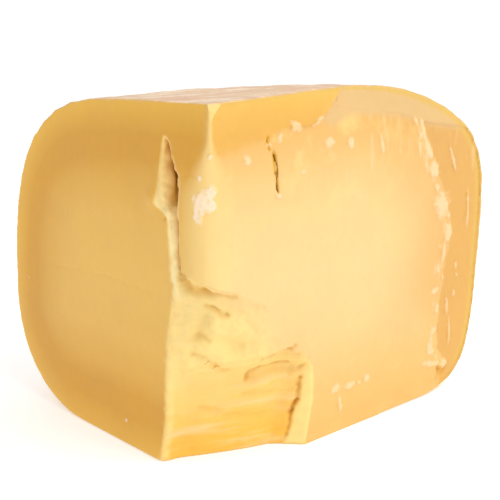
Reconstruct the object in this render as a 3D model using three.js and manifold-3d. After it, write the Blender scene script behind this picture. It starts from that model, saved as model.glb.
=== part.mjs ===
// Wedge of hard, aged cheese: a quarter of a small wheel that leaned a little to one side as it aged.
// Millimetres, +Z up. The wedge rests on its flat base and opens along +Y, its inner edge toward -Y.
// While it is shaped, the right cut lies along +X, the left cut along +Y and the inner edge on the Z axis.
import * as THREE from 'three';
import { mergeVertices } from 'three/addons/utils/BufferGeometryUtils.js';
import Module from 'manifold-3d';

// Wheel
const wheelRadius = 117.5;
const wheelHeight = 110;
const leanPerHeight = 0.086; // sideways run toward +X for each unit of height
const innerEdgeRadius = 2.5;
const stepsPerTurn = 72;

// Rind at each cut: a flat base and a flat top, joined at the belly by two superellipse quarters
const rightRind = { bellyHeight: 64, baseFlat: 72, basePower: 5.4, topFlat: 39.5, topPower: 2.4 };
const leftRind = { bellyHeight: 38.5, baseFlat: 72, basePower: 2, topFlat: 41, topPower: 3 };
const stepsPerQuarter = 10;

// Break at the foot of the inner edge, level by level: how much the level rises along the right cut,
// how far the break reaches along that cut, how deep it is at the left cut, how deep it still is at the
// steep facet that ends it, and its bow (1 is flat, more is hollow and runs out smoothly)
const breakLevels = [
  { z: 0, rise: 0, reach: 39, depth: 24.5, facetDepth: 9, bow: 1.25 },
  { z: 14, rise: 0, reach: 41.6, depth: 21.5, facetDepth: 8.5, bow: 1.25 },
  { z: 23, rise: 0.05, reach: 41, depth: 21, facetDepth: 7, bow: 1.3 },
  { z: 26.4, rise: 0.13, reach: 36.5, depth: 20.6, facetDepth: 5, bow: 1.4 },
  { z: 27.4, rise: 0.13, reach: 34, depth: 20.5, facetDepth: 2.6, bow: 1.6 },
  { z: 29.8, rise: 0.12, reach: 33, depth: 20.4, facetDepth: 1.6, bow: 1.7 },
  { z: 30.6, rise: 0.12, reach: 29, depth: 20.3, facetDepth: 0, bow: 1.9 },
  { z: 40, rise: 0, reach: 26, depth: 19.4, facetDepth: 0, bow: 1.8 },
  { z: 49, rise: 0, reach: 21, depth: 17.4, facetDepth: 0, bow: 1.7 },
  { z: 56, rise: 0, reach: 11, depth: 15.6, facetDepth: 0, bow: 1.4 },
  { z: 62, rise: 0, reach: 7, depth: 14.8, facetDepth: 0, bow: 1.3 },
];
const facetSlope = 1.2; // fall in depth for each unit along the right cut
const stepsAlongBreak = 8;
const ceilingHeight = 56.5; // underside of the tongue of cheese left above the break
const ceilingSlope = 0.32;

// Fissure that parts the tongue from the left cut, level by level: where it opens along the left cut,
// how deep it goes, how wide its mouth is, how wide a lip has broken away beside it, and its run, which
// is how much it turns away from the inner edge for each unit of depth
const fissureLevels = [
  { z: 59, opening: 14.2, depth: 1, mouth: 1.4, lip: 2.6, run: 0 },
  { z: 66, opening: 14, depth: 6, mouth: 1.5, lip: 3.4, run: 0.1 },
  { z: 77.5, opening: 14.8, depth: 6.5, mouth: 1.6, lip: 4, run: 0.25 },
  { z: 80.5, opening: 15.2, depth: 9, mouth: 3, lip: 9, run: 1 },
  { z: 88, opening: 15.6, depth: 9.5, mouth: 3.4, lip: 8, run: 1.15 },
  { z: 95, opening: 17.6, depth: 8, mouth: 2.2, lip: 5, run: 1.15 },
  { z: 100, opening: 21, depth: 4.2, mouth: 0.6, lip: 1, run: 1.15 },
];
const lipDepth = 3.4; // where the lip ends, or halfway into the fissure where that is nearer

// Slit in the right cut
const slitTop = { along: 22.6, z: 95 };
const slitFoot = { along: 24.7, z: 82.6 };
const slitWidth = 1.3;
const slitDepth = 8;
const slitRun = 0.6; // how much it turns away from the inner edge for each unit of depth

// Rind broken away along the top of the right cut, by how low it reaches
const bevelLevels = [
  { along: 47, z: 104 },
  { along: 74, z: 99.3 },
  { along: 88, z: 94.8 },
  { along: 112, z: 90 },
];
const bevelSlope = 0.42; // depth for each unit of height

const clearance = 6; // how far the cutting shapes stand outside the wheel

const wasm = await Module();
wasm.setup();

// Joins the shared vertices of a closed geometry and leaves out its collapsed triangles
function toSolid(geometry) {
  geometry.deleteAttribute('normal');
  geometry.deleteAttribute('uv');
  const merged = mergeVertices(geometry, 1e-4);
  const triangles = [];
  for (let i = 0; i < merged.index.count; i += 3) {
    const [a, b, c] = merged.index.array.slice(i, i + 3);
    if (a !== b && b !== c && c !== a) triangles.push(a, b, c);
  }
  return new wasm.Manifold(new wasm.Mesh({
    numProp: 3,
    vertProperties: merged.attributes.position.array,
    triVerts: Uint32Array.from(triangles),
  }));
}

function toGeometry(solid) {
  const mesh = solid.getMesh();
  const geometry = new THREE.BufferGeometry();
  geometry.setAttribute('position', new THREE.BufferAttribute(mesh.vertProperties, 3));
  geometry.setIndex(new THREE.BufferAttribute(mesh.triVerts, 1));
  return geometry;
}

// Moves each vertex of a geometry as place(vertex, index) does
function reshape(geometry, place) {
  const position = geometry.attributes.position;
  const vertex = new THREE.Vector3();
  for (let i = 0; i < position.count; i += 1) {
    place(vertex.fromBufferAttribute(position, i), i);
    position.setXYZ(i, vertex.x, vertex.y, vertex.z);
  }
  return geometry;
}

// A block of grid points: place(vertex, column, front, row) moves each one
function shapedBlock(columns, rows, place) {
  const block = new THREE.BoxGeometry(columns, 1, rows, columns, 1, rows);
  block.translate(columns / 2, 0, rows / 2);
  return toSolid(reshape(block, (vertex) => {
    place(vertex, Math.round(vertex.x), vertex.y < 0, Math.round(vertex.z));
  }));
}

// Outline of the rind from the middle of the base to the middle of the top: radius and height
function rindOutline(rind) {
  const outline = [new THREE.Vector2(0, 0)];
  for (let i = -stepsPerQuarter; i <= stepsPerQuarter; i += 1) {
    const angle = Math.PI / 2 * i / stepsPerQuarter;
    const power = i < 0 ? rind.basePower : rind.topPower;
    const flat = i < 0 ? rind.baseFlat : rind.topFlat;
    const height = i < 0 ? -rind.bellyHeight : wheelHeight - rind.bellyHeight;
    const out = Math.abs(Math.cos(angle)) ** (2 / power);
    const up = Math.abs(Math.sin(angle)) ** (2 / power);
    outline.push(new THREE.Vector2(flat + (wheelRadius - flat) * out, rind.bellyHeight + height * up));
  }
  outline.push(new THREE.Vector2(0, wheelHeight));
  return outline;
}

// The whole wheel, its rind passing smoothly from the outline at one cut to the outline at the other
function makeWheel() {
  const right = rindOutline(rightRind);
  const left = rindOutline(leftRind);
  const lathe = new THREE.LatheGeometry(right, stepsPerTurn).rotateX(Math.PI / 2);
  return toSolid(reshape(lathe, (vertex, index) => {
    const row = index % right.length;
    const angle = Math.atan2(vertex.y, vertex.x);
    const share = THREE.MathUtils.smoothstep(Math.abs(angle), 0, Math.PI / 2);
    const point = right[row].clone().lerp(left[row], share);
    vertex.set(point.x * Math.cos(angle), point.x * Math.sin(angle), point.y);
  }));
}

// The quarter between the two cuts, with a slightly blunt inner edge
function makeQuarter() {
  const reach = wheelRadius + clearance;
  const outline = new THREE.Shape();
  outline.moveTo(innerEdgeRadius, 0);
  outline.lineTo(reach, 0);
  outline.lineTo(reach, reach);
  outline.lineTo(0, reach);
  outline.absarc(innerEdgeRadius, innerEdgeRadius, innerEdgeRadius, Math.PI, 1.5 * Math.PI);
  const settings = { depth: wheelHeight + 2 * clearance, bevelEnabled: false, curveSegments: 6 };
  return toSolid(new THREE.ExtrudeGeometry(outline, settings).translate(0, 0, -clearance));
}

// The chunk missing from the foot of the inner edge
function makeBreak() {
  return shapedBlock(stepsAlongBreak + 2, breakLevels.length, (vertex, column, front, row) => {
    const level = breakLevels[Math.max(row - 1, 0)];
    const facetStart = level.reach - level.facetDepth / facetSlope;
    const share = THREE.MathUtils.clamp((column - 1) / stepsAlongBreak, 0, 1);
    let along = share * facetStart;
    let depth = level.facetDepth + (level.depth - level.facetDepth) * (1 - share) ** level.bow;
    if (column === 0) along = -clearance;
    if (column > stepsAlongBreak + 1) {
      along = level.reach + clearance;
      depth = -clearance * facetSlope;
    }
    const y = front ? -2 * clearance : depth;
    const z = row === 0 ? -clearance : level.z + level.rise * along;
    vertex.set(along, y, Math.min(z, ceilingHeight + ceilingSlope * Math.max(y, 0)));
  });
}

// The fissure beside the tongue, with the lip that broke away from the left cut
function makeFissure() {
  return shapedBlock(3, fissureLevels.length - 1, (vertex, column, front, row) => {
    const level = fissureLevels[row];
    const inward = [-clearance, 0, Math.min(lipDepth, level.depth / 2), level.depth][column];
    const lip = [level.lip, level.lip, level.mouth / 2, 0.1][column];
    const mouth = [level.mouth / 2, level.mouth / 2, level.mouth / 2, 0.1][column];
    const centre = level.opening + level.run * Math.max(inward, 0);
    vertex.set(inward, front ? centre - mouth : centre + lip, level.z);
  });
}

function makeSlit() {
  const outline = new THREE.Shape();
  const middle = { along: (slitTop.along + slitFoot.along) / 2, z: (slitTop.z + slitFoot.z) / 2 };
  outline.moveTo(slitTop.along, slitTop.z);
  outline.lineTo(middle.along - slitWidth / 2, middle.z);
  outline.lineTo(slitFoot.along, slitFoot.z);
  outline.lineTo(middle.along + slitWidth / 2, middle.z);
  const slit = new THREE.ExtrudeGeometry(outline, { depth: slitDepth + clearance, bevelEnabled: false });
  slit.rotateX(Math.PI / 2).translate(0, slitDepth, 0);
  return toSolid(slit.applyMatrix4(new THREE.Matrix4().makeShear(0, 0, slitRun, 0, 0, 0)));
}

function makeBevel() {
  return shapedBlock(bevelLevels.length - 1, 1, (vertex, column, front, row) => {
    const level = bevelLevels[column];
    const rise = row === 0 ? -1 : wheelHeight + clearance - level.z;
    vertex.set(level.along, front ? -clearance : bevelSlope * rise, level.z + rise);
  });
}

function makeWedge() {
  let wedge = makeWheel().intersect(makeQuarter());
  for (const missing of [makeBreak(), makeFissure(), makeSlit(), makeBevel()]) {
    wedge = wedge.subtract(missing);
  }
  const lean = new THREE.Matrix4().makeShear(0, 0, 0, 0, leanPerHeight, 0);
  return toGeometry(wedge).rotateZ(Math.PI / 4).applyMatrix4(lean);
}

const cheeseMaterial = new THREE.MeshStandardMaterial({ color: 0xe9c06e, roughness: 0.55, metalness: 0 });
const cheeseWedge = new THREE.Mesh(makeWedge(), cheeseMaterial);
cheeseWedge.name = 'cheese_wedge';

// The origin is under the middle of the bounding box
const middle = new THREE.Box3().setFromObject(cheeseWedge).getCenter(new THREE.Vector3());
cheeseWedge.position.set(-middle.x, -middle.y, 0);

const part = new THREE.Group();
part.add(cheeseWedge);

export default part;
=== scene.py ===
import math
import bmesh
import bpy
import numpy as np
from mathutils import Matrix, Vector
from mathutils.bvhtree import BVHTree


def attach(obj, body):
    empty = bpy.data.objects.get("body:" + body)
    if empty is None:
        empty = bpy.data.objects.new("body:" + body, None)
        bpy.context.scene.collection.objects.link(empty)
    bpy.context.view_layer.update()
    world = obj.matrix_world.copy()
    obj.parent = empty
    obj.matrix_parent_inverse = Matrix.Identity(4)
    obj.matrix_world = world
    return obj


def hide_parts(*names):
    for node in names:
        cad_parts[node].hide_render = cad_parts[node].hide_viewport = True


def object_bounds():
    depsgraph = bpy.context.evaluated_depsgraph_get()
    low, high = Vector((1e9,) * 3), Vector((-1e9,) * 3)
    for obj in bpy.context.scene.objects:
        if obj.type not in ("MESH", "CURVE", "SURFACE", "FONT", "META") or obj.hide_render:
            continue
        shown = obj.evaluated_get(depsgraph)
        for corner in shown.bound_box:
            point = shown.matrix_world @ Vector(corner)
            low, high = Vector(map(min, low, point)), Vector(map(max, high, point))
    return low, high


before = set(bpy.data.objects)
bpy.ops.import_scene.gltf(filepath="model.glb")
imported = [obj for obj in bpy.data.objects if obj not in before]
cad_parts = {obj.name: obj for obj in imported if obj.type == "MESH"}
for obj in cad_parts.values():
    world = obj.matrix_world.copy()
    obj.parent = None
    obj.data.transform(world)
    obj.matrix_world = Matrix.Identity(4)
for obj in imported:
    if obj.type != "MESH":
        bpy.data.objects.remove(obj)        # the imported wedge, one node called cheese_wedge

cadLow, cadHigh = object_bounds()
mm = 0.001
wheelHeight = (cadHigh.z - cadLow.z) / mm
print("frame loaded")


class Value:        # a socket that can be used in an expression
    def __init__(self, nodes, socket):
        self.nodes = nodes
        self.socket = socket

    def math(self, operation, *others, clamp=False):
        settings = {"operation": operation, "use_clamp": clamp}
        return self.nodes.add("ShaderNodeMath", settings, dict(enumerate((self, *others))))

    def __add__(self, other):
        return self.math("ADD", other)

    def __radd__(self, other):
        return self.math("ADD", other)

    def __sub__(self, other):
        return self.math("SUBTRACT", other)

    def __rsub__(self, other):
        return self.nodes.number(other).math("SUBTRACT", self)

    def __mul__(self, other):
        return self.math("MULTIPLY", other)

    def __rmul__(self, other):
        return self.math("MULTIPLY", other)

    def __truediv__(self, other):
        return self.math("DIVIDE", other)

    def __rtruediv__(self, other):
        return self.nodes.number(other).math("DIVIDE", self)

    def __abs__(self):
        return self.math("ABSOLUTE")

    def clamped(self):
        return self.math("ADD", 0.0, clamp=True)

    def atLeast(self, other):
        return self.math("MAXIMUM", other)

    def ramp(self, start, end):        # 0 at start, 1 at end, smooth between
        settings = {"interpolation_type": "SMOOTHSTEP"}
        inputs = {0: self, 1: start, 2: end, 3: 0.0, 4: 1.0}
        return self.nodes.add("ShaderNodeMapRange", settings, inputs)


class Nodes:        # writes nodes into a tree
    def __init__(self, tree):
        self.tree = tree

    def give(self, socket, given):
        if isinstance(given, Value):
            self.tree.links.new(given.socket, socket)
        else:
            socket.default_value = given

    def add(self, kind, settings=None, inputs=None, output=0):
        node = self.tree.nodes.new(kind)
        for name, setting in (settings or {}).items():
            if name == "stops":
                self.setStops(node.color_ramp, setting)
            else:
                setattr(node, name, setting)
        for key, given in (inputs or {}).items():
            self.give(node.inputs[key], given)
        return Value(self, node.outputs[output])

    def setStops(self, ramp, stops):
        while len(ramp.elements) < len(stops):
            ramp.elements.new(1.0)
        for element, (position, colour) in zip(ramp.elements, stops):
            element.position = position
            element.color = (*colour, 1.0)

    def number(self, value):
        return self.add("ShaderNodeMath", {"operation": "ADD"}, {0: value, 1: 0.0})

    def noise(self, place, size, detail=2.0, roughness=0.5):        # size in mm, from 0 to 1
        inputs = {"Vector": place, "Scale": 1 / size, "Detail": detail, "Roughness": roughness}
        return self.add("ShaderNodeTexNoise", {}, inputs)

    def waves(self, place, size, detail=2.0, roughness=0.5):        # the same from -1 to 1
        return self.noise(place, size, detail, roughness) * 2 - 1

    def cells(self, place, size):
        return self.add("ShaderNodeTexVoronoi", {}, {"Vector": place, "Scale": 1 / size}, "Distance")

    def scaled(self, place, factors):
        return self.add("ShaderNodeVectorMath", {"operation": "MULTIPLY"}, {0: place, 1: factors})

    def shifted(self, place, offset):
        return self.add("ShaderNodeVectorMath", {"operation": "ADD"}, {0: place, 1: offset})

    def mixColour(self, share, first, second, blend="MIX"):
        settings = {"data_type": "RGBA", "blend_type": blend}
        return self.add("ShaderNodeMix", settings, {0: share, 6: first, 7: second}, 2)


wedge = {
    "innerEdge": (-4.485, -59.268),        # x and y of the inner edge at the base, mm
    "leanPerHeight": 0.086,
    "plainEdgeRadius": 2.5,
    "edgeWear": [(58, 7.5), (66, 10.0), (80, 10.0), (88, 7.5), (97, 2.5)],        # height, worn radius
    "sharpening": (95.0, 100.0),        # heights between which the inner edge turns sharp
    "sharpPower": 7.0,
    "cornerChip": [(103, 0.0), (107, 1.6), (110, 4.2)],        # height, width of the chip at its top
    "chipFrom": 100.0, "chipSlope": 0.3,
    "paleReach": [(58, 9), (84, 9), (94, 4), (99, 1.2), (106, 0.8)],        # height, width of the rubbed band
    "paleFrom": 55.0,
    "wearReach": 10.0,        # how far the soft border of the break reaches
    "lightWear": 0.6,
    "ledge": (31.0, 35.0), "tongueFoot": (57.0, 54.0), "belowTongue": (57.0, 53.0),        # heights
    "fissureFoot": (76.0, 79.0), "fissureTop": (100.0, 97.0),
    "borderShift": [(0, 2.0), (39, 0.0)],        # height, how far the break's left border moves inward
    "shiftReach": 7.5,
    "brokenRadius": 60.0,        # broken faces lie nearer the inner edge, apart from the bevel
    "voxel": 0.42,
    "triangles": 192000,
}


def cutCoordinates(points):        # along the right cut, along the left cut and height, mm
    x, y, z = (points / mm).T
    x = x - wedge["innerEdge"][0] - wedge["leanPerHeight"] * z
    y = y - wedge["innerEdge"][1]
    return (x + y) / math.sqrt(2), (y - x) / math.sqrt(2), z


def fromCutCoordinates(along, across, height):
    x = (along - across) / math.sqrt(2) + wedge["innerEdge"][0] + wedge["leanPerHeight"] * height
    y = (along + across) / math.sqrt(2) + wedge["innerEdge"][1]
    return np.stack([x, y, height], 1) * mm


def vertexArray(mesh):
    flat = np.empty(len(mesh.vertices) * 3, np.float32)
    mesh.vertices.foreach_get("co", flat)
    return flat.reshape(-1, 3).astype(float)


def ramped(values, start, end):        # 0 at start, 1 at end, straight between
    return np.clip((values - start) / (end - start), 0, 1)


def fromTable(values, table):
    return np.interp(values, *zip(*table))


def storeValues(mesh, name, values):
    attribute = mesh.attributes.get(name) or mesh.attributes.new(name, "FLOAT", "POINT")
    attribute.data.foreach_set("value", np.asarray(values, np.float32))


def applyModifiers(piece):
    graph = bpy.context.evaluated_depsgraph_get()
    made = bpy.data.meshes.new_from_object(piece.evaluated_get(graph))
    old = piece.data
    piece.modifiers.clear()
    piece.data = made
    bpy.data.meshes.remove(old)


def sortedSurfaces(mesh):        # a search tree for each kind of surface of the plain wedge
    points = vertexArray(mesh)
    corners = [tuple(face.vertices) for face in mesh.polygons]
    flat = np.stack(cutCoordinates(points), 1)
    triangles = flat[np.array(corners)]
    normals = np.cross(triangles[:, 1] - triangles[:, 0], triangles[:, 2] - triangles[:, 0])
    normals /= np.maximum(np.linalg.norm(normals, axis=1, keepdims=True), 1e-9)
    along, across, height = triangles.mean(1).T
    radius = np.hypot(along, across)
    leftCut = (np.abs(along) < 0.02) & (normals[:, 0] < -0.9)
    innerEdge = (along < 2.6) & (across < 2.6)
    rightCut = (np.abs(across) < 0.02) & (normals[:, 1] < -0.9) | innerEdge
    endFace = (np.abs(normals[:, 2]) > 0.99) & (np.abs(height - wheelHeight / 2) > wheelHeight / 2 - 0.1)
    facesOut = (normals[:, 0] > -0.25) & (normals[:, 1] > -0.25)
    outside = (radius > wedge["brokenRadius"]) | (height > wheelHeight - 1.5)
    rind = (endFace | facesOut & outside) & ~leftCut & ~rightCut
    kinds = {"leftCut": leftCut, "rightCut": rightCut, "rind": rind, "broken": ~(rind | leftCut | rightCut)}
    trees = {}
    for kind, chosen in kinds.items():
        faces = [corners[i] for i in np.flatnonzero(chosen)]
        trees[kind] = BVHTree.FromPolygons([tuple(point) for point in points], faces)
    return trees


def surfaceDistances(mesh, surfaces):        # mm from each vertex to each kind of surface
    points = [vertex.co for vertex in mesh.vertices]
    return {kind: np.array([tree.find_nearest(point)[3] for point in points]) / mm
            for kind, tree in surfaces.items()}


def wearBorders(cheese, near):        # rubs the borders of the break soft
    height = cutCoordinates(vertexArray(cheese.data))[2]

    def border(first, second, reach):
        return np.clip(1 - np.maximum(near[first], near[second]) / reach, 0, 1)

    light = wedge["lightWear"]
    aboveLedge = ramped(height, *wedge["ledge"]) * ramped(height, *wedge["tongueFoot"])
    belowTongue = ramped(height, *wedge["belowTongue"])
    worn = np.maximum(border("rightCut", "broken", wedge["wearReach"]) * aboveLedge,
                      border("leftCut", "broken", wedge["wearReach"] / 3) * belowTongue * light)
    worn = np.maximum(worn, (near["broken"] < 0.5) * aboveLedge * light)
    atFissure = ramped(height, *wedge["fissureFoot"]) * ramped(height, *wedge["fissureTop"])
    worn = np.maximum(worn, border("leftCut", "broken", wedge["wearReach"] / 2) * atFissure)
    group = cheese.vertex_groups.new(name="worn")
    levels = np.round(worn * 10).astype(int)
    for level in range(1, 11):
        group.add(np.flatnonzero(levels == level).tolist(), level / 10, "REPLACE")
    smooth = cheese.modifiers.new("wear", "SMOOTH")
    smooth.vertex_group = "worn"
    smooth.iterations = 50
    applyModifiers(cheese)


def shiftBorder(mesh, near):        # stands the border between the break and the left cut upright
    along, across, height = cutCoordinates(vertexArray(mesh))
    away = np.clip(np.maximum(near["leftCut"], near["broken"]) / wedge["shiftReach"], 0, 1)
    share = 1 - away * away * (3 - 2 * away)
    across = across - share * fromTable(height, wedge["borderShift"])
    mesh.vertices.foreach_set("co", fromCutCoordinates(along, across, height).astype(np.float32).ravel())


def shapeInnerEdge(mesh):        # sharp at the top with a chipped corner, rubbed round below
    along, across, height = cutCoordinates(vertexArray(mesh))
    plain = wedge["plainEdgeRadius"]
    inside = (along < plain) & (across < plain) & (height > wedge["sharpening"][0] - 2)
    turn = np.arctan2(plain - across, plain - along)
    power = 2 + wedge["sharpPower"] * ramped(height, *wedge["sharpening"])
    stretch = (np.abs(np.cos(turn)) ** power + np.abs(np.sin(turn)) ** power) ** (-1 / power)
    stretch = np.where(inside, stretch, 1)
    along, across = plain - (plain - along) * stretch, plain - (plain - across) * stretch

    shallow = wedge["chipSlope"] * (fromTable(height, wedge["cornerChip"]) - along)
    chipped = (across < shallow) & (height > wedge["chipFrom"])
    across = np.where(chipped, shallow, across)

    radius = fromTable(height, wedge["edgeWear"])
    inside = (along < radius) & (across < radius) & (height < wedge["edgeWear"][-1][0])
    out = np.hypot(radius - along, radius - across)
    share = np.where(inside & (out > radius), radius / np.maximum(out, 1e-6), 1)
    along, across = radius - (radius - along) * share, radius - (radius - across) * share
    mesh.vertices.foreach_set("co", fromCutCoordinates(along, across, height).astype(np.float32).ravel())
    spread = fromTable(height, wedge["paleReach"])
    pale = np.clip(1.6 - np.maximum(along * 1.5, across) / spread, 0, 1) * (height > wedge["paleFrom"])
    storeValues(mesh, "pale", np.maximum(pale, chipped))


slit = {
    "line": [(82.6, 24.7), (95, 22.6)],        # height and place along the right cut, foot and top
    "run": 0.6, "depth": 9.0, "narrowing": 0.4, "reach": 3.0, "fade": 3.0,
}


def narrowSlit(mesh):        # draws the walls of the slit together
    along, across, height = cutCoordinates(vertexArray(mesh))
    foot, top = slit["line"][0][0], slit["line"][-1][0]
    offset = along - fromTable(height, slit["line"]) - slit["run"] * np.maximum(across, 0)
    away = np.clip(np.abs(offset) / slit["reach"], 0, 1)
    beyond = np.maximum(foot - height, height - top) + np.maximum(across - slit["depth"], 0)
    share = 1 - away * away * (3 - 2 * away)
    share = share * np.clip(1 - beyond / slit["fade"], 0, 1) * (1 - slit["narrowing"])
    along = along - offset * share
    mesh.vertices.foreach_set("co", fromCutCoordinates(along, across, height).astype(np.float32).ravel())


marks = {
    # all places are along the right cut, along the left cut and height, mm
    "unevenness": [(0.7, 0.3), (1.6, 0.22), (3.4, 0.1)],        # radians per mm and reach of the wobble
    # grooves: width, depth and darkness of the painted shade laid along them (nearly black toward 2), then
    # their points
    "grooves": [
        (3.4, 0.4, 0.65, [(6.1, 23.4, 88.5), (6.1, 23.4, 87.1), (4.7, 21.8, 85.7), (3.7, 20.8, 84.2)]),
        (2.6, 0.4, 0.75, [(4.7, 21.8, 85.7), (3.7, 20.8, 84.2), (3.1, 20.6, 82.5), (2.9, 20.7, 81)]),
        (1.2, 0.5, 0.5, [(2.2, 16.4, 79), (2.0, 15.9, 72), (1.9, 15.8, 66), (1.2, 14.5, 61)]),
        (3.0, 1.4, 0.6, [(0.8, 13, 60), (2.1, 11.3, 57.2), (3.6, 9.4, 55.4), (5, 7.4, 55.6)]),
        (1.6, 0.8, 0.4, [(5, 7.4, 55.6), (8, 4.2, 54.8), (11, 2, 54)]),
        (1.3, 0.9, 0.45, [(6, 9, 51), (8.5, 7, 49.5), (10, 6, 48.2), (11.5, 5.2, 47.8)]),
        (3.0, 0.9, 0.12, [(6.5, 9.8, 47), (5.8, 11.3, 44), (5.6, 12.4, 41)]),
        (1.5, 0.7, 0.2, [(5.6, 12.4, 41), (7, 11, 40.7), (8.2, 10, 39.7)]),
        (2.2, 1.2, 0.12, [(5, 13.8, 36), (7, 12, 34), (9, 10.4, 31.6), (12, 10.8, 29.4), (16, 11, 28)]),
        (1.4, 1.5, 0.4, [(23, 10.6, 23.5), (24, 9.7, 25), (26.6, 8.2, 26.4), (30.3, 7, 27),
                         (34.5, 5.7, 27)]),
        (3.2, 1.2, 0.15, [(25, 9.5, 24), (30, 7.5, 25), (35, 5.4, 24.5)]),
        (1.2, 0.8, 0.35, [(24, 4.5, 31), (28, 3, 31.5), (32.5, 1.3, 32.5), (33.5, 0.2, 33)]),
        (1.0, 0.7, 0.4, [(37.8, 3, 25), (39, 1.5, 26.6), (40, 0.3, 28)]),
        (1.2, 1.2, 0.5, [(38.7, 3, 22), (38.2, 4, 14), (36.7, 5, 10)]),
        (1.4, 1.3, 0.4, [(38.2, 4, 14), (36.7, 5, 10), (35.4, 5.2, 4), (34.2, 6, 0.9)]),
        (1.8, 0.7, 0.1, [(23, 11.2, 18), (32, 8.6, 17.2), (38, 3.8, 19)]),
        (2.0, 0.7, 0.1, [(10, 16.6, 16), (22, 12.1, 11.3), (29, 9.7, 10), (36, 5.6, 10.8)]),
        (2.2, 1.0, 0.55, [(101, 0, 7.2), (102.4, 0, 5.2), (103.8, 0, 6)]),
        (1.6, 0.7, 0.4, [(101, 0, 7.2), (100.6, 0, 4)]),
        (1.0, 0.12, 0.08, [(0, 88, 52), (0, 55, 54), (0, 29, 52.7)]),
        (0.8, 0.15, 0.12, [(0, 12.3, 89.6), (0, 7, 90), (0, 2, 89.4)]),
        (0.8, 0.6, 1.6, [(20.4, 0, 98.3), (20.4, 0, 97)]),
        (0.7, 0.5, 1.3, [(20.6, 0, 96), (21.3, 0, 94.8)]),
        (1.2, 0.7, 1.1, [(22.9, 0, 93.5), (23.4, 0, 91), (23.9, 0, 88)]),
        (0.8, 0.7, 2.4, [(23.4, 0, 92.8), (23.8, 0, 90), (24.2, 0.5, 87)]),
        (0.8, 0.7, 2.4, [(24.2, 0.5, 87), (24.6, 0, 84), (24.9, 0, 82.4)]),
    ],
    # spots that stand out or are sunken: radius, rise and place
    "spots": [
        (6.5, -2.2, (14.5, 5, 37)), (5.5, 1.3, (8.5, 8, 44)), (5.0, 0.8, (21, 3.5, 39)),
        (5.5, 1.0, (9, 10, 37.5)), (4.0, 0.9, (16, 6, 43.5)), (4.0, 0.7, (18, 8, 32)),
        (5.0, 1.4, (0, 28, 81.5)), (1.7, 1.2, (1.2, 22.7, 83)), (1.5, -1.0, (0.8, 23.2, 79.6)),
        (1.2, -0.7, (0, 21.6, 76.5)), (1.8, 1.0, (0.4, 20.3, 77.5)), (5.5, 1.3, (38, 1, 31)),
        (5.0, 0.8, (40.5, 0.5, 20)), (7.0, 0.9, (28, 10, 20)),
    ],
    # flakes on the right cut: place along it, height, half sizes and tilt in degrees
    "chips": [
        (85.0, 93.5, 1.1, 6.0, 21), (88.6, 86.0, 1.7, 4.4, 30), (92.6, 79.0, 2.5, 3.4, 28),
        (97.0, 66.0, 3.9, 6.2, 18), (101.0, 56.5, 2.6, 3.6, 16), (84.4, 86.5, 0.8, 3.5, 14),
        (99.4, 50.0, 1.1, 4.0, -8), (94.2, 72.5, 1.0, 1.8, 20), (100.8, 62.5, 1.2, 1.4, 0),
        (95.8, 37.0, 2.0, 1.1, 10), (97.6, 30.5, 1.2, 2.2, 0), (96.2, 22.5, 2.2, 1.3, 20),
        (94.6, 18.0, 0.9, 2.2, 0), (96.0, 15.6, 2.0, 1.1, -10), (96.4, 11.2, 5.0, 1.3, -14),
        (103.2, 9.6, 2.6, 1.9, 40), (106.6, 44.0, 0.6, 1.8, 10), (107.4, 40.2, 0.6, 1.0, 0),
        (106.5, 34.0, 0.6, 1.2, 0), (105.4, 20.0, 0.6, 5.5, 4), (99.6, 41.0, 0.6, 1.8, 0),
        (111.0, 62.0, 0.55, 8.0, 4), (101.5, 81.0, 0.55, 6.0, 24), (103.2, 30.0, 0.6, 4.0, 4),
        (53.2, 92.5, 1.3, 2.1, 20), (44.3, 94.0, 2.6, 1.8, -40), (30.7, 100.3, 2.8, 1.6, -35),
        (24.9, 97.8, 1.2, 2.1, -20), (34.4, 86.6, 1.1, 0.6, 0), (39.0, 100.6, 2.2, 1.2, 30),
        (66.6, 91.0, 0.7, 4.5, 18), (20.6, 96.2, 1.3, 1.0, 0),
        (51.6, 15.2, 2.6, 1.7, 30), (57.8, 14.4, 2.3, 1.4, 15), (53.6, 9.5, 0.9, 3.6, 10),
        (65.0, 14.8, 1.9, 1.5, -35), (61.8, 14.2, 0.9, 0.8, 0),
        (24.9, 81.4, 1.4, 1.2, -30), (13.0, 93.0, 1.2, 1.9, 20),
    ],
    # crystals: radius and place
    "crystals": [
        (3.4, (1.0, 1.8, 84.2)), (3.5, (0.3, 4.2, 83.4)), (3.2, (0, 5.2, 81)), (2.3, (0, 6, 78.6)),
        (2.8, (1.8, 2.6, 82)), (0.9, (0, 5.1, 89.8)),
        (0.95, (0.8, 0.8, 95.1)), (1.5, (0.3, 3.4, 79.8)),
        (0.5, (4.2, 0, 103.8)), (0.5, (0, 22.2, 98.7)), (0.5, (0, 108, 44.5)), (0.5, (0, 79.7, 71.2)),
        (0.6, (0, 43, 8.3)),
    ],
}


def pathDistance(points, path):        # mm from each point to a line of several points
    nearest = np.full(len(points), 1e3)
    for start, end in zip(np.array(path[:-1], float), np.array(path[1:], float)):
        span = end - start
        share = np.clip((points - start) @ span / (span @ span), 0, 1)
        nearest = np.minimum(nearest, np.linalg.norm(points - start - share[:, None] * span, axis=1))
    return nearest


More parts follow.
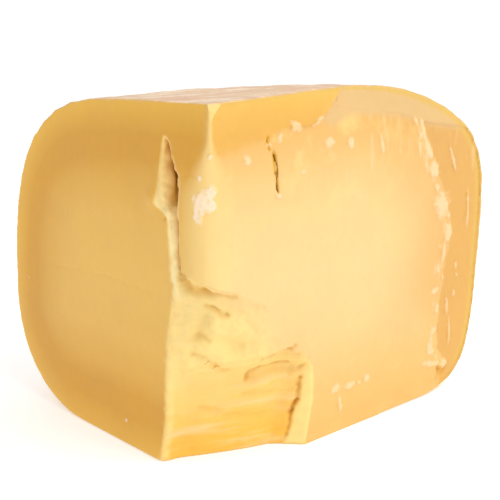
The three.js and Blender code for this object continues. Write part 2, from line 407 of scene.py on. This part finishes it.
def addMarks(mesh):        # what happened to this one wedge, and painted shade along its grooves
    points = np.stack(cutCoordinates(vertexArray(mesh)), 1)
    uneven = points
    for pace, reach in marks["unevenness"]:
        uneven = uneven + reach * np.sin(np.roll(uneven, 1, 1) * pace + (0, 2, 4))
    lift, dark = np.zeros(len(points)), np.zeros(len(points))
    # the darkness is painted shade along each groove, strongest in the slit, the fissure and under the
    # tongue; the faint lines on the left cut are darker marks of its own
    for width, depth, darkness, path in marks["grooves"]:
        followed = points if darkness > 0.6 else uneven
        profile = np.exp(-(pathDistance(followed, path) / (width * 0.55)) ** 2)
        lift -= profile * depth
        dark = np.maximum(dark, profile * darkness)
    for radius, rise, place in marks["spots"]:
        lift += rise * np.exp(-(np.linalg.norm(uneven - place, axis=1) / (radius * 0.6)) ** 2)
    chip = np.full(len(points), -1.0)
    for place, height, wide, high, tilt in marks["chips"]:
        sideways, upward = points[:, 0] - place, points[:, 2] - height
        cosine, sine = math.cos(math.radians(tilt)), math.sin(math.radians(tilt))
        across = (sideways * cosine + upward * sine) / wide
        upright = (upward * cosine - sideways * sine) / high
        chip = np.maximum(chip, 1 - np.hypot(across, upright))
    chip = np.where(points[:, 1] < 3, chip, -1)
    crystal = np.full(len(points), -1.0)
    for radius, place in marks["crystals"]:
        crystal = np.maximum(crystal, 1 - np.linalg.norm(uneven - place, axis=1) / radius)
    storeValues(mesh, "markLift", lift)
    storeValues(mesh, "dark", dark)
    storeValues(mesh, "chip", chip)
    storeValues(mesh, "crystal", crystal)


zones = {
    # lower edge of the smooth strip under the top of the right cut: along, height
    "stripEdge": [(0, 95), (10, 96.3), (20, 98.6), (31, 99.9), (37, 99.9), (42, 102), (44, 104.2),
                  (47, 108)],
    "stripEnd": 47.2,
    # border of the firm zone under the rind on the right cut: height, along
    "firmEdge": [(4, 102), (9, 105), (16, 99), (32, 99), (46, 100.5), (52, 102), (59, 102.4), (69, 98.7),
                 (76, 94.6), (87, 89.6), (97, 84), (104, 82)],
    "facetEdge": [(0, 34), (4, 35.4), (10, 36.7), (14, 38.2), (22, 38.7)],        # height, along
    "facetTop": (27.0, 22.0), "facetLimit": 60.0, "facetBlend": 0.9,
    # the pale border beside the left cut, a painted highlight along the rounded left edge of the break:
    # height, and its width or the place where it starts
    "borderFrom": [(0, 12), (52, 13), (56, 14.6), (62, 15.4), (70, 16.8), (79, 18.4), (95, 19)],
    "borderReach": [(0, 3.2), (40, 3.6), (57, 4.4), (78, 4.4), (84, 5.2), (93, 4), (99, 2.5), (101, 0.1)],
    "bevelFoot": [(36, 107), (41, 101), (45, 98.5), (52, 101.5), (74, 98.5), (88, 94), (112, 89.5)],
    "blend": 0.8,        # how softly one kind of surface passes into the next
    "ledgeTint": (29.0, 33.0), "fissure": (60.0, 66.0), "tintReach": 9.0, "fissureTint": 0.8,
    # heights between which something comes in or goes out
    "baseFlat": (0.2, 2.5), "tornFoot": (6.0, 14.0), "layersEnd": (24.0, 33.0), "bevelRise": (84.0, 88.0),
    "footBand": (8.0, 34.0), "topBand": (84.0, 98.0), "cloudBand": (60.0, 88.0), "layerTint": (22.0, 30.0),
    "firmBand": (50.0, 90.0), "nearFirmBand": (20.0, 40.0), "rimFoot": (4.0, 12.0),
    "ridgeFoot": (50.0, 58.0), "ridgeTop": (78.0, 88.0), "drawnBand": (70.0, 92.0), "topSkin": (60.0, 90.0),
    # the same along the right cut
    "stripFirms": (24.0, 36.0), "stripStands": (10.0, 40.0), "bevelStart": (30.0, 38.0),
    "rimWidens": (45.0, 105.0), "drawnFrom": (38.0, 52.0),
    # the same from the border of the firm zone
    "nearFirm": (-38.0, -6.0), "tornLine": -3.0, "tornReach": 6.0,
}


def markZones(mesh, near):
    along, across, height = cutCoordinates(vertexArray(mesh))
    storeValues(mesh, "rindDepth", near["rind"])
    storeValues(mesh, "radius", np.hypot(along, across))
    for kind in ("leftCut", "rightCut", "broken"):
        others = np.min([near[other] for other in near if other != kind], axis=0)
        storeValues(mesh, kind, np.clip((others - near[kind]) / zones["blend"] + 0.5, 0, 1))
    storeValues(mesh, "aboveBevelFoot", height - fromTable(along, zones["bevelFoot"]))
    facet = np.clip((along - fromTable(height, zones["facetEdge"])) / zones["facetBlend"], 0, 1)
    facet = facet * ramped(height, *zones["facetTop"]) * (along < zones["facetLimit"])
    storeValues(mesh, "facet", facet)
    besideRightCut = np.clip(1 - near["rightCut"] / zones["tintReach"], 0, 1)
    besideRightCut = besideRightCut * ramped(height, *zones["ledgeTint"])
    inFissure = ramped(height, *zones["fissure"]) * zones["fissureTint"]
    storeValues(mesh, "breakTint", (1 - besideRightCut) * (1 - inFissure))
    # the border marks a painted highlight along the rounded left edge of the break
    reach = fromTable(height, zones["borderReach"])
    besideCut = np.clip(across - fromTable(height, zones["borderFrom"]) + 0.5, 0, 1)
    border = 1 - np.clip(np.maximum(near["leftCut"], near["broken"] * 3) / reach, 0, 1)
    storeValues(mesh, "border", np.clip(border * 2, 0, 1) * besideCut)
    aboveStrip = height - fromTable(along, zones["stripEdge"])
    storeValues(mesh, "aboveStrip", np.minimum(aboveStrip, zones["stripEnd"] - along))
    storeValues(mesh, "pastFirm", along - fromTable(height, zones["firmEdge"]))
    storeValues(mesh, "along", along)


relief = {        # heights and sizes in mm
    "waveHeight": 0.35, "waveSize": 42.0,
    "grainHeight": 0.05, "grainSize": 2.6,
    "streakHeight": 0.16, "streakSize": 2.2,
    "stripStep": 0.9,
    "chipHeight": 0.5, "firmStep": 0.5,
    "lumpHeight": 3.0, "lumpSize": 10.0,
    "crumbHeight": 0.5, "crumbSize": 3.2,
    "layerHeight": 2.0, "layerSize": 6.0,
    "crystalHeight": 0.55,
    "dentHeight": 0.9, "dentSize": 30.0,
    "leatherHeight": 0.3, "leatherSize": 3.4,
}


def reliefTree(material):
    tree = bpy.data.node_groups.new("cheeseRelief", "GeometryNodeTree")
    tree.interface.new_socket("Geometry", in_out="INPUT", socket_type="NodeSocketGeometry")
    for name in relief:
        tree.interface.new_socket(name, in_out="INPUT", socket_type="NodeSocketFloat")
    tree.interface.new_socket("Geometry", in_out="OUTPUT", socket_type="NodeSocketGeometry")
    nodes = Nodes(tree)
    entry = tree.nodes.new("NodeGroupInput")
    size = {name: Value(nodes, entry.outputs[name]) for name in relief}

    def mark(name):
        return nodes.add("GeometryNodeInputNamedAttribute", {"data_type": "FLOAT"}, {"Name": name})

    place = nodes.scaled(nodes.add("GeometryNodeInputPosition"), (1000, 1000, 1000))
    height = nodes.add("ShaderNodeSeparateXYZ", {}, {0: place}, "Z")
    leftCut, rightCut, broken = mark("leftCut"), mark("rightCut"), mark("broken")
    cut = (leftCut + rightCut).clamped()
    rind = (1 - cut - broken).clamped()

    # cut faces: slow waves, fine grain and upright streaks where the blade dragged
    wave = nodes.waves(place, size["waveSize"]) * size["waveHeight"]
    grain = nodes.waves(place, size["grainSize"], 3.0) * size["grainHeight"]
    upright = nodes.scaled(place, (1.0, 1.0, 0.07))
    patches = nodes.noise(nodes.shifted(place, (31, 7, 0)), size["waveSize"] * 0.4).ramp(0.45, 0.65)
    streaks = nodes.noise(upright, size["streakSize"]).ramp(0.52, 0.8) * patches * size["streakHeight"]

    # smooth strip under the top, standing proud of the torn face toward its end
    along = mark("along")
    ragged = nodes.waves(nodes.shifted(place, (5, 5, 5)), 4.2, 3.0)
    scallops = nodes.waves(nodes.shifted(place, (2, 9, 4)), 9.0) * 3.0
    softness = 1 - along.ramp(*zones["stripFirms"])
    edge = mark("aboveStrip") + ragged * (softness * 2.4 + 0.7) + scallops * softness
    strip = edge.ramp(-0.4 - softness * 1.2, softness * 1.2 + 0.4) * rightCut
    stripLift = (strip - 0.5) * along.ramp(*zones["stripStands"]) * size["stripStep"] * rightCut

    # torn flakes and the firm zone beside them
    flake = (mark("chip") + ragged * 0.8 + nodes.waves(place, 1.7) * 0.6).ramp(-0.05, 0.5) * rightCut
    beside = 1 - abs(mark("pastFirm") - zones["tornLine"]) / zones["tornReach"]
    torn = nodes.waves(nodes.scaled(nodes.shifted(place, (3, 1, 8)), (1.0, 1.0, 0.55)), 3.6, 4.0, 0.6)
    besideFirm = (beside * 0.7 - 0.62 + torn).ramp(0.0, 0.35) * rightCut * height.ramp(*zones["tornFoot"])
    flake = flake.atLeast(besideFirm)
    past = mark("pastFirm") + ragged * 1.8
    firm = past.ramp(-0.6, 1.2) * rightCut
    firmDrop = firm * -1 * size["firmStep"]

    # broken faces: lumps, crumbs, and layers that run out toward the foot
    layered = 1 - height.ramp(*zones["layersEnd"])
    lumps = nodes.waves(place, size["lumpSize"], 4.0, 0.45) * (1 - layered * 0.75) * size["lumpHeight"]
    crumbs = nodes.waves(nodes.shifted(place, (9, 2, 4)), size["crumbSize"], 4.0, 0.55) * size["crumbHeight"]
    sloping = nodes.scaled(nodes.add("ShaderNodeVectorRotate", {"rotation_type": "Y_AXIS"},
                                     {"Vector": place, "Angle": 0.1}), (0.13, 0.13, 1.0))
    layers = nodes.waves(sloping, size["layerSize"], 3.0) * layered * size["layerHeight"]
    bevel = (mark("aboveBevelFoot") + ragged).ramp(-1.5, 1.0) * (1 - strip) * (1 - leftCut)
    bevel = bevel * height.ramp(*zones["bevelRise"]) * along.ramp(*zones["bevelStart"])
    breakage = (lumps + crumbs * (1 - layered * 0.5) + layers) * broken * (1 - bevel * 0.7)

    # crystals grown in the cheese, lumpy and just proud of the face
    crystal = (mark("crystal") + nodes.waves(place, 2.2, 3.0) * 0.8).ramp(0.0, 0.35)
    crystalLift = crystal * (1.1 - nodes.cells(place, 1.7)) * size["crystalHeight"]

    # rind: dents and a leathery skin
    dents = nodes.waves(nodes.shifted(place, (50, 0, 0)), size["dentSize"]) * size["dentHeight"]
    leather = nodes.waves(place, size["leatherSize"], 3.0) * size["leatherHeight"]
    skin = (dents + leather) * rind

    lift = (wave + grain) * cut + streaks * rightCut + stripLift + flake * size["chipHeight"] + firmDrop
    lift = lift + breakage + crystalLift + skin + mark("markLift")
    lift = lift * height.ramp(*zones["baseFlat"]) * mm
    offset = nodes.add("ShaderNodeVectorMath", {"operation": "SCALE"},
                       {0: nodes.add("GeometryNodeInputNormal"), "Scale": lift})
    geometry = {"Geometry": Value(nodes, entry.outputs["Geometry"]), "Offset": offset}
    moved = nodes.add("GeometryNodeSetPosition", {}, geometry)
    smoothCut = strip.atLeast(firm * 0.8)
    stored = {"smoothCut": smoothCut, "firm": firm, "flake": flake, "crystalCover": crystal, "bevel": bevel}
    for name, value in stored.items():
        moved = nodes.add("GeometryNodeStoreNamedAttribute", {"data_type": "FLOAT", "domain": "POINT"},
                          {"Geometry": moved, "Name": name, "Value": value})
    real = nodes.add("GeometryNodeRealizeInstances", {}, {0: moved})
    painted = nodes.add("GeometryNodeSetMaterial", {}, {"Geometry": real, "Material": material})
    end = tree.nodes.new("NodeGroupOutput")
    tree.links.new(painted.socket, end.inputs[0])
    return tree


paste = {
    # colours by depth under the rind in mm: cut smooth, torn, and broken open
    "cut": [(0, (0.81, 0.46, 0.058)), (4, (0.76, 0.41, 0.045)), (10, (0.69, 0.34, 0.028)),
            (17, (0.68, 0.335, 0.03)), (24, (0.735, 0.40, 0.058)), (36, (0.79, 0.462, 0.088)),
            (60, (0.80, 0.488, 0.103))],
    "torn": [(0, (0.76, 0.43, 0.11)), (4, (0.74, 0.41, 0.10)), (10, (0.76, 0.44, 0.12)),
             (17, (0.775, 0.47, 0.155)), (34, (0.82, 0.545, 0.225)), (60, (0.835, 0.57, 0.25))],
    "broken": [(0, (0.86, 0.46, 0.06)), (5, (0.87, 0.48, 0.07)), (12, (0.87, 0.52, 0.11)),
               (24, (0.88, 0.60, 0.19)), (34, (0.88, 0.65, 0.24)), (60, (0.88, 0.66, 0.26))],
    "deepest": 60.0,
    # a paler tint laid over the whole right cut, painted sheen where that face turns to the light
    "strip": (0.72, 0.44, 0.13, 1),
    "foot": (0.77, 0.50, 0.17, 1),
    "bevel": (0.68, 0.44, 0.18, 1),
    "rim": (0.68, 0.43, 0.09, 1),
    "firm": (0.64, 0.345, 0.092, 1),
    "layer": (0.86, 0.60, 0.26, 1),
    "facet": (0.88, 0.69, 0.26, 1),
    "pale": (0.88, 0.63, 0.24, 1),
    "cloud": (0.86, 0.60, 0.22, 1),
    # painted highlights: the border of the break beside the left cut, brightest on the ridge left of the
    # fissure
    "border": (0.92, 0.66, 0.24, 1),
    "ridgeHighlight": (0.98, 0.80, 0.40, 1),
    "flake": (0.90, 0.62, 0.36, 1),
    "crystal": (0.93, 0.74, 0.55, 1),
    # painted shade: saturated orange in grooves and creases, nearly black deep in the slit
    "creaseShade": (0.66, 0.33, 0.015, 1),
    "deep": (0.11, 0.05, 0.004, 1),
    "rindTop": (0.76, 0.52, 0.32, 1),
    "rindTopPale": (0.95, 0.79, 0.62, 1),
    "rindTopPink": (0.74, 0.42, 0.28, 1),
    "rindSide": (0.68, 0.42, 0.13, 1),
    "rindDark": (0.46, 0.24, 0.07, 1),
    "rindWorn": (0.80, 0.57, 0.27, 1),
    "topRadius": (48.0, 92.0),        # where the top's skin gives way to the side's
    "mottling": 0.12,
    "shine": 0.35,
    "subsurface": 0.12,
    "subsurfaceDepth": 0.003,
}


def cheeseMaterial():
    material = bpy.data.materials.new("agedCheese")
    material.use_nodes = True
    material.node_tree.nodes.clear()
    nodes = Nodes(material.node_tree)

    def mark(name):
        return nodes.add("ShaderNodeAttribute", {"attribute_name": name}, {}, "Fac")

    place = nodes.scaled(nodes.add("ShaderNodeTexCoord", {}, {}, "Object"), (1000, 1000, 1000))
    height = nodes.add("ShaderNodeSeparateXYZ", {}, {0: place}, "Z")
    leftCut, rightCut, broken, bevel = mark("leftCut"), mark("rightCut"), mark("broken"), mark("bevel")
    smoothCut, flake, depth = mark("smoothCut"), mark("flake"), mark("rindDepth")
    crystal, dark = mark("crystalCover"), mark("dark")
    cut = (leftCut + rightCut).clamped()
    rind = (1 - cut - broken).clamped()

    cloud = nodes.noise(place, 22.0, 3.0)
    waver = nodes.waves(nodes.shifted(place, (40, 12, 3)), 14.0) * 2.5
    share = (depth + waver * depth.ramp(0.5, 12.0)) / paste["deepest"]

    def byDepth(kind):
        stops = [(at / paste["deepest"], colour) for at, colour in paste[kind]]
        return nodes.add("ShaderNodeValToRGB", {"stops": stops}, {0: share}, "Color")

    torn = (rightCut * (1 - smoothCut * 0.8) + broken).clamped()
    # the right cut takes a paler tint than the left cut of the same paste, a painted sheen where it faces the
    # light
    colour = nodes.mixColour(rightCut * 0.3, byDepth("cut"), paste["strip"])
    tornColour = nodes.mixColour((1 - height.ramp(*zones["footBand"])) * 0.45, byDepth("torn"), paste["foot"])
    tornColour = nodes.mixColour(height.ramp(*zones["topBand"]) * 0.25, tornColour, paste["firm"])
    clouds = nodes.noise(nodes.shifted(place, (17, 5, 9)), 10.0, 4.0, 0.6).ramp(0.46, 0.68)
    clouds = clouds * (0.15 + height.ramp(*zones["cloudBand"]) * 0.4)
    tornColour = nodes.mixColour(clouds * rightCut, tornColour, paste["cloud"])
    colour = nodes.mixColour(torn, colour, tornColour)
    colour = nodes.mixColour(broken * mark("breakTint"), colour, byDepth("broken"))
    layers = nodes.noise(nodes.scaled(place, (0.13, 0.13, 1.0)), 4.5, 4.0, 0.6).ramp(0.45, 0.7)
    layers = layers * (1 - height.ramp(*zones["layerTint"])) * 0.8
    colour = nodes.mixColour(broken * layers, colour, paste["layer"])
    colour = nodes.mixColour(broken * mark("facet") * 0.9, colour, paste["facet"])
    firmShare = mark("firm") * (height.ramp(*zones["firmBand"]) * 0.2 + 0.6)
    nearFirm = mark("pastFirm").ramp(*zones["nearFirm"]) * height.ramp(*zones["nearFirmBand"])
    firmShare = firmShare.atLeast(nearFirm * rightCut * 0.36)
    colour = nodes.mixColour(firmShare, colour, paste["firm"])
    colour = nodes.mixColour(bevel, colour, paste["bevel"])
    rimWidth = mark("along").ramp(*zones["rimWidens"]) * 1.6 + 1.4
    rim = (1 - (depth / rimWidth).ramp(0.6, 1.2)) * (rightCut + broken).clamped()
    rim = rim * height.ramp(*zones["rimFoot"])
    colour = nodes.mixColour(rim * 0.8, colour, paste["rim"])
    colour = nodes.mixColour(mark("pale") * cut * 0.8, colour, paste["pale"])
    # painted highlight along the rounded border beside the left cut, brighter still on the ridge left of the
    # fissure
    border = mark("border") * (nodes.noise(place, 3.0, 3.0).ramp(0.35, 0.6) * 0.4 + 0.6)
    colour = nodes.mixColour(border * 0.75, colour, paste["border"])
    ridgeHighlight = border * height.ramp(*zones["ridgeFoot"]) * (1 - height.ramp(*zones["ridgeTop"]))
    colour = nodes.mixColour(ridgeHighlight * 0.8, colour, paste["ridgeHighlight"])
    drawn = nodes.noise(nodes.scaled(place, (1.0, 1.0, 0.12)), 2.4, 3.0, 0.6).ramp(0.52, 0.72)
    drawn = drawn * mark("along").ramp(*zones["drawnFrom"]) * rightCut
    drawn = drawn * (height.ramp(*zones["drawnBand"]) * 0.45 + 0.06)
    drawn = drawn * nodes.noise(nodes.shifted(place, (70, 0, 0)), 9.0, 2.0).ramp(0.4, 0.62)
    colour = nodes.mixColour(drawn * (1 - bevel), colour, paste["flake"])
    colour = nodes.mixColour(flake * 0.7, colour, paste["flake"])

    # rind: pinkish skin with pale strokes on top, a firmer tan one with darker blots on the side
    strokes = nodes.noise(nodes.scaled(place, (0.2, 1.0, 1.0)), 4.0, 5.0, 0.7).ramp(0.47, 0.6)
    top = nodes.mixColour(strokes * 0.8, paste["rindTop"], paste["rindTopPale"])
    reddish = nodes.noise(nodes.scaled(place, (0.5, 1.0, 1.0)), 9.0, 6.0, 0.7).ramp(0.5, 0.6)
    top = nodes.mixColour(reddish * 0.7, top, paste["rindTopPink"])
    blots = nodes.noise(nodes.shifted(place, (8, 3, 60)), 9.0, 5.0, 0.6).ramp(0.5, 0.75)
    side = nodes.mixColour(blots * 0.45, paste["rindSide"], paste["rindDark"])
    belts = nodes.noise(nodes.scaled(place, (0.06, 0.06, 1.0)), 5.0, 4.0, 0.6).ramp(0.42, 0.7)
    side = nodes.mixColour(belts * 0.25, side, paste["rindWorn"])
    scuffs = nodes.noise(nodes.scaled(nodes.shifted(place, (0, 0, 30)), (0.3, 0.3, 1.6)), 3.0, 5.0, 0.7)
    side = nodes.mixColour(scuffs.ramp(0.58, 0.66) * 0.4, side, paste["rindTopPink"])
    radius = mark("radius") + waver * 2.5
    onTop = (1 - radius.ramp(*paste["topRadius"])) * height.ramp(*zones["topSkin"])
    skin = nodes.mixColour(onTop, side, top)
    colour = nodes.mixColour(rind, colour, skin)
    clear = nodes.noise(place, 1.3, 3.0).ramp(0.5, 0.68) * 0.6
    colour = nodes.mixColour(crystal * (0.85 - clear), colour, paste["crystal"])
    # painted shade along the grooves, under the tongue and deep in the slit
    colour = nodes.mixColour(dark.clamped(), colour, paste["creaseShade"])
    colour = nodes.mixColour(dark.ramp(1.1, 1.8), colour, paste["deep"])

    mottle = (cloud - 0.5) * paste["mottling"] + (nodes.noise(place, 3.0, 4.0) - 0.5) * 0.06 + 1.0
    mottleColour = nodes.add("ShaderNodeCombineColor", {}, {0: mottle, 1: mottle, 2: mottle})
    colour = nodes.mixColour(1.0, colour, mottleColour, "MULTIPLY")

    shader = material.node_tree.nodes.new("ShaderNodeBsdfPrincipled")
    nodes.give(shader.inputs["Base Color"], colour)
    nodes.give(shader.inputs["Roughness"], 0.42 + cloud * 0.16 + broken * 0.15 + rind * 0.06)
    shader.inputs["Specular IOR Level"].default_value = paste["shine"]
    shader.inputs["Subsurface Weight"].default_value = paste["subsurface"]
    shader.inputs["Subsurface Radius"].default_value = (1.0, 0.6, 0.25)
    shader.inputs["Subsurface Scale"].default_value = paste["subsurfaceDepth"]
    fine = nodes.noise(place, 0.9, 4.0, 0.6) * (0.25 + broken * 0.5 + rind * 0.5)
    bump = nodes.add("ShaderNodeBump", {}, {"Height": fine, "Strength": 0.2, "Distance": 0.0004})
    nodes.give(shader.inputs["Normal"], bump)
    output = material.node_tree.nodes.new("ShaderNodeOutputMaterial")
    material.node_tree.links.new(shader.outputs[0], output.inputs["Surface"])
    return material


def makeCheese():
    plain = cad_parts["cheese_wedge"].data.copy()
    merging = bmesh.new()
    merging.from_mesh(plain)
    bmesh.ops.remove_doubles(merging, verts=merging.verts, dist=1e-6)
    merging.to_mesh(plain)
    merging.free()
    surfaces = sortedSurfaces(plain)
    cheese = bpy.data.objects.new("cheese_body", plain)
    bpy.context.scene.collection.objects.link(cheese)
    remesh = cheese.modifiers.new("remesh", "REMESH")
    remesh.mode = "VOXEL"
    remesh.voxel_size = wedge["voxel"] * mm
    smooth = cheese.modifiers.new("smooth", "SMOOTH")
    smooth.iterations = 2
    applyModifiers(cheese)
    print("remeshed", len(cheese.data.vertices), "points")

    near = surfaceDistances(cheese.data, surfaces)
    markZones(cheese.data, near)
    print("zones marked")
    wearBorders(cheese, near)
    shiftBorder(cheese.data, near)
    shapeInnerEdge(cheese.data)
    narrowSlit(cheese.data)
    addMarks(cheese.data)
    print("borders worn and marks added")

    shaping = cheese.modifiers.new("relief", "NODES")
    shaping.node_group = reliefTree(cheeseMaterial())
    for item in shaping.node_group.interface.items_tree:
        if item.name in relief:
            shaping[item.identifier] = relief[item.name]
    applyModifiers(cheese)
    print("relief made")

    thin = cheese.modifiers.new("thin", "DECIMATE")
    thin.ratio = wedge["triangles"] / (len(cheese.data.polygons) * 2)
    applyModifiers(cheese)
    for face in cheese.data.polygons:
        face.use_smooth = True
    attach(cheese, "root")
    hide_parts("cheese_wedge")
    print("thinned to", len(cheese.data.polygons), "faces")


makeCheese()


studio = {
    "aim": (11.0, -42.3, 65.7),        # mm
    "distance": 300.0,
    "azimuth": 7.02, "elevation": 13.3, "roll": -3.68,        # degrees
    "lens": 74.5,
    "worldStrength": 0.78,
    "backdropStrength": 1.05,        # what the camera sees behind the floor
    "floorSize": 8.0,
    "floorGlow": 0.32,
    "keyPlace": (0.75, -0.45, 0.85), "keySize": 0.8, "keyPower": 6.5,        # metres, watts
}


def makeCamera():
    data = bpy.data.cameras.new("camera")
    data.lens = studio["lens"]
    data.sensor_width = 36.0
    data.clip_start = 0.01
    camera = bpy.data.objects.new("camera", data)
    azimuth, elevation = math.radians(studio["azimuth"]), math.radians(studio["elevation"])
    level = math.cos(elevation)
    away = Vector((math.sin(azimuth) * level, -math.cos(azimuth) * level, math.sin(elevation)))
    turn = away.to_track_quat("Z", "Y").to_matrix().to_4x4()
    roll = Matrix.Rotation(math.radians(studio["roll"]), 4, "Z")
    place = (Vector(studio["aim"]) + away * studio["distance"]) * mm
    camera.matrix_world = Matrix.Translation(place) @ turn @ roll
    bpy.context.scene.collection.objects.link(camera)
    bpy.context.scene.camera = camera


def makeKey():
    data = bpy.data.lights.new("key", "AREA")
    data.size = studio["keySize"]
    data.energy = studio["keyPower"]
    lamp = bpy.data.objects.new("key", data)
    away = Vector(studio["keyPlace"])
    lamp.matrix_world = Matrix.Translation(away) @ away.to_track_quat("Z", "Y").to_matrix().to_4x4()
    bpy.context.scene.collection.objects.link(lamp)


def makeFloor():
    half = studio["floorSize"] / 2
    mesh = bpy.data.meshes.new("floor")
    corners = [(-half, -half, 0), (half, -half, 0), (half, half, 0), (-half, half, 0)]
    mesh.from_pydata(corners, [], [(0, 1, 2, 3)])
    floor = bpy.data.objects.new("floor", mesh)
    floor.location.z = cadLow.z - 0.2 * mm
    material = bpy.data.materials.new("paleFloor")
    material.use_nodes = True
    shader = material.node_tree.nodes["Principled BSDF"]
    shader.inputs["Base Color"].default_value = (0.9, 0.9, 0.9, 1)
    shader.inputs["Roughness"].default_value = 0.8
    shader.inputs["Emission Color"].default_value = (1, 1, 1, 1)
    shader.inputs["Emission Strength"].default_value = studio["floorGlow"]
    mesh.materials.append(material)
    bpy.context.scene.collection.objects.link(floor)


def makeWorld():
    world = bpy.data.worlds.new("studio")
    world.use_nodes = True
    nodes = Nodes(world.node_tree)
    background = world.node_tree.nodes["Background"]
    seen = nodes.add("ShaderNodeLightPath", {}, {}, "Is Camera Ray")
    strength = seen * (studio["backdropStrength"] - studio["worldStrength"]) + studio["worldStrength"]
    background.inputs["Color"].default_value = (1, 1, 1, 1)
    nodes.give(background.inputs["Strength"], strength)
    bpy.context.scene.world = world
    bpy.context.scene.view_settings.view_transform = "Standard"


makeCamera()
makeKey()
makeFloor()
makeWorld()
print("studio set")
